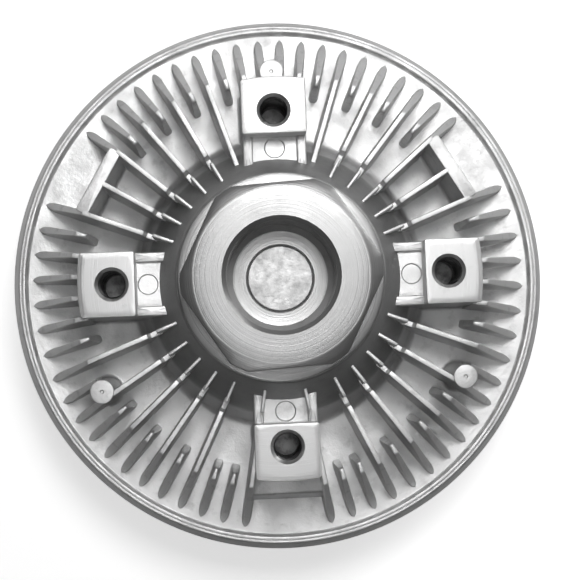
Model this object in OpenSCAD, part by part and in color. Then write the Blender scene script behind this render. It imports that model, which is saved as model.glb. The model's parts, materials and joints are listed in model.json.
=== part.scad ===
// Viscous fan clutch: a finned casting that carries the fan, turning on a bearing about
// a threaded hub nut, with a grooved rotor, a fluid reservoir and a bimetal valve inside.
// Z runs along the axis, the hub nut is at the top and the part stands on its front fins.
// All sizes are in millimetres.

/* [Casting] */
// Outside diameter of the clutch
clutch_d = 150; // [144:1:160]
// Thickness of the casting wall over the rotor
wall_t = 5.4; // [4.5:0.1:7]
// Height of the raised lip around the casting floor
lip_rise = 1.5; // [1:0.1:2.5]
// Height of the bevel on the rim below the floor
rim_bevel = 4; // [3:0.5:6]
// Height of the bearing boss above the floor
boss_h = 31.5; // [29.5:0.5:36]
// Wall around the bearing bore at the top of the boss
boss_wall = 4.5; // [4:0.1:6]
// Slope of the side of the boss
boss_draft = 20.7; // [16:0.1:22]

/* [Fan pads] */
// Diameter of the circle of the four fan bolts
bolt_circle_d = 88.9; // [86:0.1:92]
// Tapping hole of a fan bolt
bolt_hole_d = 6.8; // [5:0.1:8.5]
// Depth of a fan bolt hole
bolt_hole_depth = 20; // [12:0.5:26]
// Width of a chamfer at the mouth of a bolt hole
bolt_chamfer = 0.7; // [0.4:0.1:1]
// Width of a fan pad
pad_w = 17.2; // [15:0.1:19]
// Pad face from the bolt hole towards the axis
pad_inward = 6.15; // [5:0.05:7]
// Pad face from the bolt hole towards the rim
pad_outward = 9.05; // [6.5:0.05:10]
// Height of the fan pads above the floor
pad_h = 29; // [25:0.5:34]
// Height of the bridge between a pad and the boss
bridge_h = 21.5; // [15:0.5:23]
// Width of the two ribs along a bridge
bridge_rib_w = 2.6; // [1.6:0.1:4]
// Height of these ribs above the bridge
bridge_rib_rise = 1.5; // [0.6:0.1:1.8]
// Diameter of the round mark on each bridge
bridge_mark_d = 5.6; // [4:0.1:6.5]

/* [Rear fins] */
// Height of the fins above the floor
fin_h = 20; // [14:0.5:21]
// Width of a fin at its foot
fin_foot_w = 2.8; // [2.4:0.1:3.4]
// Width of a fin along its top
fin_top_w = 1.3; // [0.8:0.1:2]
// Gap between the fin tips and the lip
fin_tip_gap = 0.35; // [0.2:0.05:1.5]
// Length of the slope from a fin's tip to its top
fin_ramp = 12.05; // [9:0.05:14]
// Length of the top of a short fin
fin_short_top = 3.3; // [2:0.1:5]
// Thickness of the web between a long fin and the boss
fin_web_t = 0.8; // [0.6:0.1:1.2]
// Spacing of the fins around the upper pad, in degrees
fin_step_top = 5.2; // [5.1:0.05:5.3]
// Spacing of the fins around the side pads, in degrees
fin_step_side = 6; // [5.9:0.05:6.1]
// Spacing of the fins on either side of the lower pad, in degrees
fin_step_low = 5.3; // [5.2:0.05:5.4]
// Angle from the lower pad to the fins along its sides
fin_low_start = 10.2; // [9.8:0.1:10.6]
// Thickness of the cross bars between fins
bar_t = 3.5; // [2.5:0.1:4.5]
// Diameter of the three locating pins
pin_d = 6.5; // [5:0.1:8]
// Height of the locating pins above the floor
pin_h = 20.5; // [14:0.5:24]
// Height of the ledge outside the lower pad
ledge_h = 10; // [6:0.5:14]

/* [Hub nut] */
// Width across the flats of the hub nut
nut_af = 47.6; // [44:0.1:48.5]
// Diameter of the round bar the nut is milled from
nut_bar_d = 52.2; // [51:0.1:54]
// Length of the flats
hex_len = 8; // [6:0.5:14]
// Thickness of the round collar under the flats
collar_t = 2; // [1.2:0.1:4]
// Diameter of this collar
collar_d = 54.4; // [53:0.1:55.4]
// Gap between the collar and the boss
collar_gap = 0.5; // [0.4:0.1:1.5]
// Inside diameter of the hub thread
thread_d = 28.4; // [27:0.1:30]
// Depth of the threaded hole
thread_depth = 17; // [14:0.5:18.5]
// Radial size of the chamfer at the mouth of the thread
thread_chamfer = 1; // [0.5:0.1:1.4]
// Turn of the nut on its axis, in degrees
nut_turn = 3.1; // [0:0.1:60]

/* [Bearing] */
// Bore of the bearing
bearing_bore = 20; // [19:0.1:20.4]
// Outside diameter of the bearing
bearing_d = 47; // [46:0.1:48]
// Width of the bearing
bearing_w = 14; // [13:0.1:15]
// Diameter of a bearing ball
ball_d = 7.94; // [7:0.01:8.2]
// Number of bearing balls
balls = 8; // [6:1:9]
// Gap between a ball and its races
ball_fit = 0.05; // [0.02:0.01:0.09]
// Thickness of the ring that holds the bearing
snap_t = 1.6; // [1.2:0.1:2]

/* [Drive shaft and rotor] */
// Diameter of the shaft end in the hub nut
shaft_end_d = 17.8; // [16:0.1:18.6]
// Diameter of the shaft shoulder under the bearing
shoulder_d = 25; // [24:0.1:27]
// Diameter of the shaft where it carries the rotor
rotor_bore = 17; // [15:0.1:18.5]
// Thickness of the rotor web
web_t = 4; // [3:0.1:6]
// Height of the ring ridges
ridge_h = 3.5; // [2.5:0.1:4]
// Width of a ring ridge
ridge_w = 1.5; // [1.3:0.05:1.6]
// Gap between a ridge and the side of its groove
ridge_gap = 0.5; // [0.4:0.01:0.55]
// Gap between the top of a ridge and its groove
ridge_end_gap = 0.8; // [0.5:0.1:1.2]
// Gap between the rotor's edge and the casting
rotor_gap = 0.8; // [0.5:0.1:1.2]
// Number of holes through the rotor web
rotor_holes = 6; // [4:1:8]

/* [Front cover] */
// Height of the fins on the cover
cover_fin_h = 9; // [8.6:0.1:12]
// Thickness of a fin on the cover
cover_fin_t = 2.4; // [1.8:0.1:3]
// Number of long fins on the cover, each followed by a short one
cover_fins = 20; // [14:1:22]
// Thickness of the cover plate
cover_t = 4; // [3.5:0.1:6]
// Depth of the fluid reservoir
reservoir_h = 5; // [4.4:0.1:7]
// Thickness of the cover's outer flange
flange_t = 4; // [3:0.1:5]
// Thickness of the casting's edge rolled over the flange
roll_t = 1.5; // [1:0.1:2.5]
// Thickness of the seal ring behind the flange
seal_d = 1.9; // [1.5:0.1:2.2]

/* [Valve] */
// Thickness of the pump plate
plate_t = 1.2; // [0.8:0.1:1.6]
// Gap between the pump plate and the rotor
plate_gap = 1.1; // [0.95:0.05:1.5]
// Diameter of the two ports in the pump plate
port_d = 4.4; // [3:0.1:5.5]
// Radius at which the ports lie
port_r = 28; // [22:0.5:32]
// Thickness of the valve arm
arm_t = 1; // [0.8:0.1:1.2]
// Gap between the valve arm and the pump plate
arm_gap = 0.3; // [0.25:0.05:0.6]
// Diameter of the valve shaft
valve_d = 6; // [5:0.1:7]
// Gap between the valve shaft and its bore in the cover
valve_fit = 0.05; // [0.02:0.01:0.09]
// Thickness of the bimetal strip
strip_t = 1; // [0.7:0.05:1.2]
// Width of the bimetal strip
strip_w = 6; // [4.5:0.1:6.2]
// Spacing of the turns of the bimetal coil
coil_step = 2.4; // [2:0.05:2.6]
// Gap between the bimetal strip and the slots that hold it
strip_fit = 0.1; // [0.05:0.01:0.2]

/* [Hidden] */
$fn = 96;

clutch_r = clutch_d / 2;

// levels from the front fin tips up to the casting floor
z_cov0 = cover_fin_h;
z_cov1 = z_cov0 + cover_t;
z_plate0 = z_cov1 + reservoir_h;
z_plate1 = z_plate0 + plate_t;
z_web0 = z_plate1 + plate_gap;
z_web1 = z_web0 + web_t;
z_covland = z_web0 - ridge_h - ridge_end_gap;
z_in = z_web1 + ridge_h + ridge_end_gap;
z_floor = z_in + wall_t;
z_flange1 = z_covland + 1;
z_flange0 = z_flange1 - flange_t;
z_roll = z_flange0 - roll_t;

// levels above the floor
z_lip = z_floor + lip_rise;
z_rim = z_floor - rim_bevel;
z_fin = z_floor + fin_h;
z_bridge = z_floor + bridge_h;
z_pad = z_floor + pad_h;
z_boss = z_floor + boss_h;
z_collar = z_boss + collar_gap;
z_hex = z_collar + collar_t;
z_nut = z_hex + hex_len;
z_bore = z_nut - thread_depth;

// bearing and shaft levels
z_brg0 = z_floor + 2;
z_brg1 = z_brg0 + bearing_w;
z_ball = (z_brg0 + z_brg1) / 2;
z_step = z_brg0 - 5;
z_ring = z_web0 + 0.8;
ring_t = 1;
z_seat = z_ring + ring_t;
z_end = z_plate1 + 0.7;

// radii of the casting
land_r = clutch_r - 2;
lip_r = clutch_r - 3.8;
floor_r = clutch_r - 6;
lip_fillet = 1.1;
chamber_r = clutch_r - 9.2;
skirt_r = clutch_r - 1.6;
flange_r = clutch_r - 5.8;
cover_r = clutch_r - 8.8;
roll_r = clutch_r - 8.4;
seal_r = (chamber_r + flange_r) / 2;
seal_gap = 0.05;
bore_r = bearing_d / 2;
boss_r = bore_r + boss_wall;
boss_foot_r = boss_r + boss_h * tan(boss_draft);
snap_reach = 1.3;
throat_r = bore_r - 4.5;

// radii of the fins
tip_r = floor_r - fin_tip_gap;
top_r = tip_r - fin_ramp;
short_r = top_r - fin_short_top;
notch_r = boss_foot_r - 1.1;
web_r = notch_r - 3;
bar_r = top_r + 0.8;
pin_r = top_r - 0.2;
bolt_r = bolt_circle_d / 2;
pad_in = bolt_r - pad_inward;
pad_out = bolt_r + pad_outward;
mark_r = pad_in - bridge_mark_d / 2 - 0.1;
sink = 1;
root_in = 2.5;
notch_drop = 4;
boss_round = 0.9;
fin_web_rise = 0.57 * (boss_h - fin_h);

// radii of the rotor and its ridges
rotor_r = chamber_r - rotor_gap;
ridges = 5;
ridge_step = 2 * (ridge_w + ridge_gap);
ridge_r = rotor_r - ridges * ridge_step - 1;
fixed_r = ridge_r + ridge_w + ridge_gap;

// radii of the reservoir, the pump plate and the valve
rim_in_r = ridge_r - 2 * ridge_gap;
plate_r = rim_in_r - 2.4;
res_r = plate_r - 2.6;
rivet_r = (plate_r + res_r) / 2;
rivet_pin_r = 0.8;
rivet_head_r = 1.2;
rivet_head_t = 0.4;
rivet_depth = 3;
arm_hub_w = 3.5;
arm_w = 5.2;
arm_rim = 1.3;
valve_r = valve_d / 2;
z_arm1 = z_plate0 - arm_gap;
z_arm0 = z_arm1 - arm_t;
z_vboss = z_arm0 - 0.5;
z_clip1 = z_cov0 - 0.3;
clip_t = 0.8;
z_strip1 = z_clip1 - clip_t - 0.5;
z_strip0 = z_strip1 - strip_w;
coil_r = valve_r + 0.9 + strip_t / 2;
coil_turns = 5.25;
coil_out_r = coil_r + coil_turns * coil_step;
bracket_r = coil_out_r + strip_t / 2 + 1.2;
tang_x = -strip_t;
bracket_w = 15;
bracket_len = 10.5;
bracket_t = 1.2;
bracket_post_len = 3.4;
bracket_pin_x = 4.5;
bracket_pin_y = 7;
bracket_pin_r = 1.2;
bracket_pin_depth = 2.6;
bracket_head_r = 2.1;
bracket_head_t = 1;
recess_r = bracket_r + 13.5;

// bearing races
pitch_r = (bearing_bore / 2 + bore_r) / 2;
race_in_r = pitch_r - 2.65;
race_out_r = pitch_r + 2.65;

// fins along the circle: angle from the upper pad's axis and kind, one side of the mirror line
// kinds: 0 stub at a pad, 1 short, 2 long with a web, 3 long into the boss, 4 from a bar, 5 stub at a pin
bar_a = (9.5 * fin_step_top + 90 - 3.5 * fin_step_side) / 2;
kind_top = [0, 0, 1, 3, 1, 2, 1, 2, 1, 2];
kind_side = [2, 1, 0, 0, 0, 0, 1, 2];
kind_low = [2, 1, 1, 2, 1, 2, 1, 2, 1, 2, 5];
half_fins = concat(
    [for (i = [0 : 9]) [(i + 0.5) * fin_step_top, kind_top[i]]],
    [[bar_a, 4]],
    [for (i = [0 : 7]) [90 + (i - 3.5) * fin_step_side, kind_side[i]]],
    [for (i = [0 : 10]) [180 - fin_low_start - i * fin_step_low, kind_low[i]]]
);

// points along an arc in a section
function arc(x, z, r, a0, a1, n) =
    [for (i = [0 : n]) [x + r * cos(a0 + (a1 - a0) * i / n), z + r * sin(a0 + (a1 - a0) * i / n)]];

// a section drawn in radius and height, given a thickness across a radial plane
module radial_plate(t) {
    rotate([90, 0, 0])
        linear_extrude(height = t, center = true)
            children();
}

// the drafted sides and the rounded tip that every fin shares
module fin_bounds(top) {
    grow = (fin_foot_w - fin_top_w) / 2 / fin_h;
    w0 = fin_foot_w / 2 + grow * sink;
    w1 = fin_top_w / 2 - grow * (top - z_fin);
    intersection() {
        rotate([90, 0, 90])
            linear_extrude(height = tip_r)
                polygon([[-w0, z_floor - sink], [w0, z_floor - sink], [w1, top], [-w1, top]]);
        translate([0, 0, z_floor - sink - 1])
            linear_extrude(height = fin_h + 4)
                polygon(concat(
                    [[boss_r - 1, -w0 - 0.2]],
                    arc(tip_r - w0, 0, w0 + 0.05, -80, 80, 6),
                    [[boss_r - 1, w0 + 0.2]]
                ));
    }
}

// a point inside the boss wall, on which fins and bridges end
function root(z) = [boss_r + (z_boss - z) * tan(boss_draft) - root_in, z];

// one cooling fin on the +X axis
module fin(kind) {
    foot = z_floor - sink;
    ramp = [[tip_r + 1, foot], [tip_r + 0.2, z_floor - 0.1], [top_r, z_fin]];
    inner =
        kind == 0 ? [[pad_out - 1, z_fin], [pad_out - 1, foot]] :
        kind == 1 ? [[short_r, z_fin], [short_r - 1.25, z_floor], [short_r - 1.25, foot]] :
        kind == 3 ? [root(z_fin), root(foot)] :
        kind == 5 ? [[pin_r, z_fin], [pin_r, foot]] :
        [[notch_r, z_fin], [notch_r - 0.6, z_fin - notch_drop], root(z_fin - notch_drop), root(foot)];
    outer = kind == 4 ? [[bar_r - 0.5, foot], [bar_r - 0.5, z_fin]] : ramp;
    intersection() {
        fin_bounds(z_fin + 0.5);
        radial_plate(fin_foot_w + 2)
            polygon(concat(outer, inner));
    }
    if (kind == 2 || kind == 4) {
        radial_plate(fin_web_t)
            polygon([
                [web_r, z_fin - 1.5 * notch_drop], [web_r, z_fin + fin_web_rise - 0.4],
                [web_r - 0.4, z_fin + fin_web_rise], root(z_fin + fin_web_rise), root(z_fin - 1.5 * notch_drop)
            ]);
    }
}

module housing_section() {
    difference() {
        polygon(concat(
            [
                [roll_r, z_roll], [skirt_r - 1, z_roll], [skirt_r, z_roll + 1],
                [skirt_r, z_rim - 4], [clutch_r, z_rim - 2.4], [clutch_r, z_rim],
                [land_r + 0.3, z_lip - 0.5], [land_r - 0.1, z_lip],
                [lip_r, z_lip]
            ],
            arc(lip_r - 0.2 - lip_fillet, z_floor + lip_fillet, lip_fillet, -10, -90, 4),
            [[boss_foot_r + 1, z_floor], [boss_foot_r - 0.35, z_floor + 0.9]],
            arc(boss_r - boss_round, z_boss - boss_round, boss_round, boss_draft, 90, 4),
            [
                [bore_r + 0.6, z_boss], [bore_r, z_boss - 0.6], [bore_r, z_brg0],
                [throat_r, z_brg0], [throat_r, z_in], [bore_r + 4.3, z_in],
                [bore_r + 4.3, z_brg0 + 10], [bore_r + 6.2, z_brg0 + 10], [boss_foot_r - 4.6, z_in + 2],
                [boss_foot_r - 4.2, z_in], [chamber_r, z_in], [chamber_r, z_flange1],
                [flange_r + 0.1, z_flange1], [flange_r + 0.1, z_flange0], [roll_r, z_flange0]
            ]
        ));
        translate([bore_r - 1, z_brg1])
            square([1 + snap_reach, snap_t + 0.1]);
        translate([seal_r - seal_d / 2 - 0.3, z_flange1 - 0.5])
            square([seal_d + 0.6, seal_d + 0.5 + seal_gap]);
    }
    for (i = [0 : ridges - 1])
        translate([fixed_r + i * ridge_step, z_in - ridge_h])
            square([ridge_w, ridge_h + 0.3]);
}

// pad outline: three straight sides and an arc about the axis
module pad_outline() {
    intersection() {
        circle(r = pad_out);
        translate([pad_in, -pad_w / 2])
            square([pad_out - pad_in + 3, pad_w]);
    }
}

module fan_pad() {
    translate([0, 0, z_floor - sink])
        linear_extrude(height = pad_h + sink)
            pad_outline();
    // bridge to the boss
    radial_plate(pad_w - 2 * bridge_rib_w + 0.6)
        bridge_side(z_floor - sink - 0.2, z_bridge, 1.5);
    for (s = [-1, 1])
        translate([0, s * (pad_w / 2 - bridge_rib_w / 2 - 0.1), 0])
            radial_plate(bridge_rib_w)
                bridge_side(z_floor - sink - 0.4, z_bridge + bridge_rib_rise, 1.2);
}

// side view of a bridge between the boss wall and a pad
module bridge_side(low, high, into_pad) {
    polygon([root(low), [pad_in + into_pad, low], [pad_in + into_pad, high], root(high)]);
}

module pad_cuts() {
    hole_r = bolt_hole_d / 2;
    translate([bolt_r, 0, z_pad - bolt_hole_depth])
        cylinder(r = hole_r, h = bolt_hole_depth + 1);
    translate([bolt_r, 0, z_pad - bolt_chamfer])
        cylinder(r1 = hole_r, r2 = hole_r + bolt_chamfer + 0.5, h = bolt_chamfer + 0.5);
    translate([mark_r, 0, z_bridge - 0.25])
        cylinder(d = bridge_mark_d, h = 1);
}

module cross_bar() {
    half = (bar_r - bar_t / 2) * tan((90 - 9.5 * fin_step_top - 3.5 * fin_step_side) / 2);
    translate([bar_r - bar_t, -half, z_floor - sink - 0.6])
        cube([bar_t, 2 * half, fin_h + sink + 0.6 - 0.01]);
}

module lower_ledge() {
    half = (pad_out + 5) * tan(fin_low_start);
    rotate([0, 0, 270])
        radial_plate(2 * half)
            polygon([
                [pad_out - 1, z_floor - sink - 0.8], [pad_out + 8, z_floor - sink - 0.8],
                [pad_out + 7, z_floor], [pad_out + 5, z_floor + ledge_h], [pad_out - 1, z_floor + ledge_h]
            ]);
}

module rear_housing() {
    color("silver")
        difference() {
            union() {
                rotate_extrude()
                    housing_section();
                for (a = [0 : 90 : 270])
                    rotate([0, 0, a])
                        fan_pad();
                for (f = half_fins, s = [-1, 1])
                    rotate([0, 0, 90 + s * f[0]])
                        fin(f[1]);
                for (s = [-1, 1])
                    rotate([0, 0, 90 + s * bar_a])
                        cross_bar();
                for (a = [90, 210, 330])
                    rotate([0, 0, a])
                        translate([pin_r, 0, z_floor - sink - 1])
                            cylinder(d = pin_d, h = pin_h + sink + 1);
                lower_ledge();
            }
            for (a = [0 : 90 : 270])
                rotate([0, 0, a])
                    pad_cuts();
        }
}

// one fin of the cover, drafted, on the +X axis
module cover_fin(r0) {
    r1 = cover_r - 1.2;
    intersection() {
        radial_plate(cover_fin_t + 2)
            polygon([
                [r0, z_cov0 + 1], [r0, z_cov0 - 1], [r0 + 2.5, 0], [r1 - 3, 0],
                [r1, z_cov0 - 4], [r1, z_cov0 + 1]
            ]);
        rotate([90, 0, 90])
            linear_extrude(height = clutch_r)
                polygon([
                    [-cover_fin_t / 2, -1], [cover_fin_t / 2, -1],
                    [cover_fin_t / 2 + 0.5, z_cov0 + 2], [-cover_fin_t / 2 - 0.5, z_cov0 + 2]
                ]);
    }
}

module cover_section() {
    bore = valve_r + valve_fit;
    polygon([
        [bore, z_cov0], [cover_r, z_cov0], [cover_r, z_flange0], [flange_r, z_flange0],
        [flange_r, z_flange1], [chamber_r - 0.3, z_flange1], [chamber_r - 1.2, z_covland],
        [rim_in_r, z_covland], [rim_in_r, z_plate1], [plate_r + 0.05, z_plate1],
        [plate_r + 0.05, z_plate0], [res_r, z_plate0], [res_r, z_cov1],
        [valve_r + 4.5, z_cov1], [valve_r + 4, z_vboss], [bore, z_vboss]
    ]);
    for (i = [0 : ridges - 1])
        translate([fixed_r + i * ridge_step, z_covland - 0.3])
            square([ridge_w, ridge_h + 0.3]);
}

module front_cover() {
    color("gainsboro")
        difference() {
            union() {
                rotate_extrude()
                    cover_section();
                for (i = [0 : cover_fins - 1]) {
                    rotate([0, 0, (i + 0.5) * 360 / cover_fins])
                        cover_fin(recess_r);
                    rotate([0, 0, (i + 1) * 360 / cover_fins])
                        cover_fin(recess_r + 10);
                }
            }
            rivet_places()
                translate([0, 0, z_plate0 - rivet_depth])
                    cylinder(r = rivet_pin_r, h = rivet_depth + 1, $fn = 24);
            bracket_places()
                translate([0, 0, z_cov0 - 1])
                    cylinder(r = bracket_pin_r, h = bracket_pin_depth + 1, $fn = 24);
        }
}

module rivet_places() {
    for (i = [0 : 5])
        rotate([0, 0, 30 + i * 60])
            translate([rivet_r, 0, 0])
                children();
}

module bracket_places() {
    for (s = [-1, 1])
        translate([s * bracket_pin_x, bracket_r + bracket_pin_y, 0])
            children();
}

module cover_seal_ring() {
    color("black")
        rotate_extrude()
            translate([seal_r, z_flange1 + seal_d / 2 + seal_gap / 2])
                circle(d = seal_d, $fn = 32);
}

module pump_plate() {
    color("lightsteelblue")
        difference() {
            translate([0, 0, z_plate0])
                cylinder(r = plate_r, h = plate_t);
            for (s = [-1, 1])
                translate([s * port_r, 0, z_plate0 - 1])
                    cylinder(d = port_d, h = plate_t + 2, $fn = 32);
            rivet_places()
                translate([0, 0, z_plate0 - 1])
                    cylinder(r = rivet_pin_r, h = plate_t + 2, $fn = 24);
        }
}

module pump_plate_rivets() {
    color("dimgray")
        rivet_places() {
            translate([0, 0, z_plate0 - rivet_depth])
                cylinder(r = rivet_pin_r, h = rivet_depth + plate_t + rivet_head_t / 2, $fn = 24);
            translate([0, 0, z_plate1])
                cylinder(r = rivet_head_r, h = rivet_head_t, $fn = 24);
        }
}

// half of a race section with its ball groove
module race_section(r0, r1) {
    difference() {
        translate([r0, z_brg0])
            square([r1 - r0, bearing_w]);
        translate([pitch_r, z_ball])
            circle(d = ball_d + 2 * ball_fit, $fn = 64);
    }
}

module bearing_outer_race() {
    color("lightgray")
        rotate_extrude()
            race_section(race_out_r, bore_r);
}

module bearing_inner_race() {
    color("lightgray")
        rotate_extrude()
            race_section(bearing_bore / 2, race_in_r);
}

module ball_places() {
    for (i = [0 : balls - 1])
        rotate([0, 0, i * 360 / balls])
            translate([pitch_r, 0, z_ball])
                children();
}

module bearing_balls() {
    color("whitesmoke")
        ball_places()
            sphere(d = ball_d, $fn = 48);
}

module bearing_cage() {
    h = ball_d + 2.2;
    color("goldenrod")
        difference() {
            rotate_extrude()
                translate([pitch_r - 1.1, z_ball - h / 2])
                    square([2.2, h]);
            ball_places()
                sphere(d = ball_d + 0.2, $fn = 48);
        }
}

module seal_washer(z) {
    translate([0, 0, z])
        difference() {
            cylinder(r = race_out_r - 0.05, h = 0.9);
            translate([0, 0, -1])
                cylinder(r = race_in_r + 0.35, h = 3);
        }
}

module bearing_rear_seal() {
    color("black")
        seal_washer(z_brg1 - 1.3);
}

module bearing_front_seal() {
    color("black")
        seal_washer(z_brg0 + 0.4);
}

module bearing_snap_ring() {
    color("gray")
        rotate([0, 0, 12])
            rotate_extrude(angle = 336)
                translate([bore_r - 1.8, z_brg1])
                    square([1.7 + snap_reach, snap_t]);
}

module hub_nut() {
    spigot_r = race_in_r - 0.4;
    neck_r = bore_r - 2.5;
    bar = nut_bar_d / 2;
    collar = collar_d / 2;
    face_r = nut_af / 2 - 0.95;
    nut_bevel = 15;
    t = thread_d / 2;
    color("slategray")
        difference() {
            union() {
                rotate_extrude()
                    polygon([
                        [shaft_end_d / 2, z_brg1], [spigot_r, z_brg1], [spigot_r, z_brg1 + snap_t + 0.8],
                        [neck_r, z_brg1 + snap_t + 0.8], [neck_r, z_collar], [collar - 0.3, z_collar],
                        [collar, z_collar + 0.3], [collar, z_hex], [t + 1.5, z_hex], [t + 1.5, z_bore - 1.2],
                        [shaft_end_d / 2, z_bore - 1.2]
                    ]);
                intersection() {
                    rotate([0, 0, nut_turn])
                        translate([0, 0, z_bore - 3])
                            cylinder(r = nut_af / sqrt(3), h = thread_depth + 3, $fn = 6);
                    rotate_extrude()
                        polygon([
                            [shaft_end_d / 2, z_bore - 1.3], [t + 2.5, z_bore - 1.3], [t + 2.5, z_hex - 0.5],
                            [bar, z_hex - 0.5], [bar, z_nut - (bar - face_r) * tan(nut_bevel)],
                            [face_r, z_nut], [shaft_end_d / 2, z_nut]
                        ]);
                }
            }
            rotate_extrude()
                polygon([
                    [0, z_bore - 0.6], [shaft_end_d / 2, z_bore - 0.6], [shaft_end_d / 2 + 0.6, z_bore],
                    [t - 1.7, z_bore], [t, z_bore + 1.4], [t, z_nut - thread_chamfer],
                    [t + thread_chamfer + 0.5, z_nut + 0.5], [0, z_nut + 0.5]
                ]);
        }
}

module drive_shaft() {
    e = shaft_end_d / 2;
    b = bearing_bore / 2;
    k = rotor_bore / 2;
    color("lightslategray")
        rotate_extrude()
            polygon([
                [0, z_end], [k - 0.8, z_end], [k - 0.8, z_ring - 0.2], [k - 1.2, z_ring - 0.2],
                [k - 1.2, z_seat], [k, z_seat], [k, z_step], [shoulder_d / 2, z_step],
                [shoulder_d / 2, z_brg0], [b, z_brg0], [b, z_brg1], [e, z_brg1],
                [e, z_bore - 0.6], [e - 0.5, z_bore - 0.05], [0, z_bore - 0.05]
            ]);
}

module rotor() {
    k = rotor_bore / 2;
    color("lightsteelblue")
        difference() {
            rotate_extrude() {
                polygon([
                    [k, z_seat], [k + 5, z_seat], [k + 5, z_web0], [rotor_r, z_web0],
                    [rotor_r, z_web1], [k + 8, z_web1], [k + 6, z_step], [k, z_step]
                ]);
                for (i = [0 : ridges - 1], z = [z_web0 - ridge_h, z_web1 - 0.3])
                    translate([ridge_r + i * ridge_step, z])
                        square([ridge_w, ridge_h + 0.3]);
            }
            for (i = [0 : rotor_holes - 1])
                rotate([0, 0, i * 360 / rotor_holes])
                    translate([ridge_r - 8, 0, z_web0 - 1])
                        cylinder(r = 3, h = web_t + 2, $fn = 32);
        }
}

module rotor_retaining_ring() {
    k = rotor_bore / 2;
    color("gray")
        rotate_extrude(angle = 340)
            translate([k - 1.15, z_ring])
                square([4, ring_t]);
}

module valve_shaft() {
    color("silver")
        difference() {
            rotate_extrude()
                polygon([
                    [0, z_strip0 + 0.3], [valve_r - 0.3, z_strip0 + 0.3], [valve_r, z_strip0 + 0.6],
                    [valve_r, z_clip1 - clip_t - 0.1], [valve_r - 0.7, z_clip1 - clip_t - 0.1],
                    [valve_r - 0.7, z_clip1], [valve_r, z_clip1], [valve_r, z_cov1 - 1.6],
                    [valve_r - 1.25, z_cov1 - 1.6], [valve_r - 1.25, z_cov1], [valve_r, z_cov1],
                    [valve_r, z_arm0], [valve_r - 0.9, z_arm0], [valve_r - 0.9, z_arm1], [0, z_arm1]
                ]);
            translate([-valve_d, -strip_t - strip_fit, z_strip0 - 1])
                cube([2 * valve_d, strip_t + 2 * strip_fit, strip_w + 1 + 0.15]);
        }
}

module valve_arm() {
    color("tan")
        translate([0, 0, z_arm0])
            linear_extrude(height = arm_t)
                difference() {
                    union() {
                        circle(r = valve_r + arm_hub_w);
                        translate([-port_r, -arm_w / 2])
                            square([2 * port_r, arm_w]);
                        for (s = [-1, 1])
                            translate([s * port_r, 0])
                                circle(d = port_d + 2 * arm_rim, $fn = 48);
                    }
                    circle(r = valve_r - 0.9);
                }
}

module valve_shaft_seal() {
    color("black")
        rotate_extrude()
            translate([valve_r - 0.62, z_cov1 - 0.8])
                circle(r = 0.61, $fn = 24);
}

module valve_shaft_clip() {
    color("gray")
        rotate([0, 0, 40])
            rotate_extrude(angle = 280)
                translate([valve_r - 0.68, z_clip1 - clip_t])
                    square([2.4, clip_t]);
}

module bimetal_coil() {
    last = coil_turns * 360;
    steps = 190;
    h = strip_t / 2;
    in_x = -valve_r + 0.5;
    out_y = coil_out_r + 5;
    color("peru")
        translate([0, 0, z_strip0])
            linear_extrude(height = strip_w)
                polygon(concat(
                    [for (i = [0 : steps]) coil_point(last * i / steps, -h)],
                    [[tang_x, coil_out_r - h], [tang_x, out_y], [0, out_y]],
                    [for (i = [0 : steps]) coil_point(last * (1 - i / steps), h)],
                    [[coil_r + h, -strip_t], [in_x, -strip_t], [in_x, 0]]
                ));
}

// a point along the spiral, off to one side of its middle line
function coil_point(a, off) = (coil_r + coil_step * a / 360 + off) * [cos(a), sin(a)];

module bimetal_bracket() {
    left = tang_x - strip_fit - bracket_t;
    right = tang_x + strip_t + strip_fit;
    color("darkgray")
        difference() {
            union() {
                translate([-bracket_w / 2, bracket_r, z_cov0 - bracket_t])
                    cube([bracket_w, bracket_len, bracket_t]);
                for (x = [left, right])
                    translate([x, bracket_r, z_strip0])
                        cube([bracket_t, bracket_post_len, z_cov0 - z_strip0 - 0.2]);
            }
            bracket_places()
                translate([0, 0, z_cov0 - bracket_t - 1])
                    cylinder(r = bracket_pin_r, h = bracket_t + 2, $fn = 24);
        }
}

module bimetal_bracket_rivets() {
    color("dimgray")
        bracket_places() {
            translate([0, 0, z_cov0 - bracket_t])
                cylinder(r = bracket_pin_r, h = bracket_t + bracket_pin_depth, $fn = 24);
            translate([0, 0, z_cov0 - bracket_t - bracket_head_t])
                cylinder(r1 = bracket_head_r - 0.5, r2 = bracket_head_r, h = bracket_head_t, $fn = 24);
        }
}

rear_housing();
front_cover();
cover_seal_ring();
pump_plate();
pump_plate_rivets();
bearing_outer_race();
bearing_inner_race();
bearing_balls();
bearing_cage();
bearing_rear_seal();
bearing_front_seal();
bearing_snap_ring();
hub_nut();
drive_shaft();
rotor();
rotor_retaining_ring();
valve_shaft();
valve_arm();
valve_shaft_seal();
valve_shaft_clip();
bimetal_coil();
bimetal_bracket();
bimetal_bracket_rivets();
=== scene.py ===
"""Looks of a viscous fan clutch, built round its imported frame."""
import json
import math

import bmesh
import bpy
import numpy as np
from mathutils import Matrix, Vector

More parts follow.
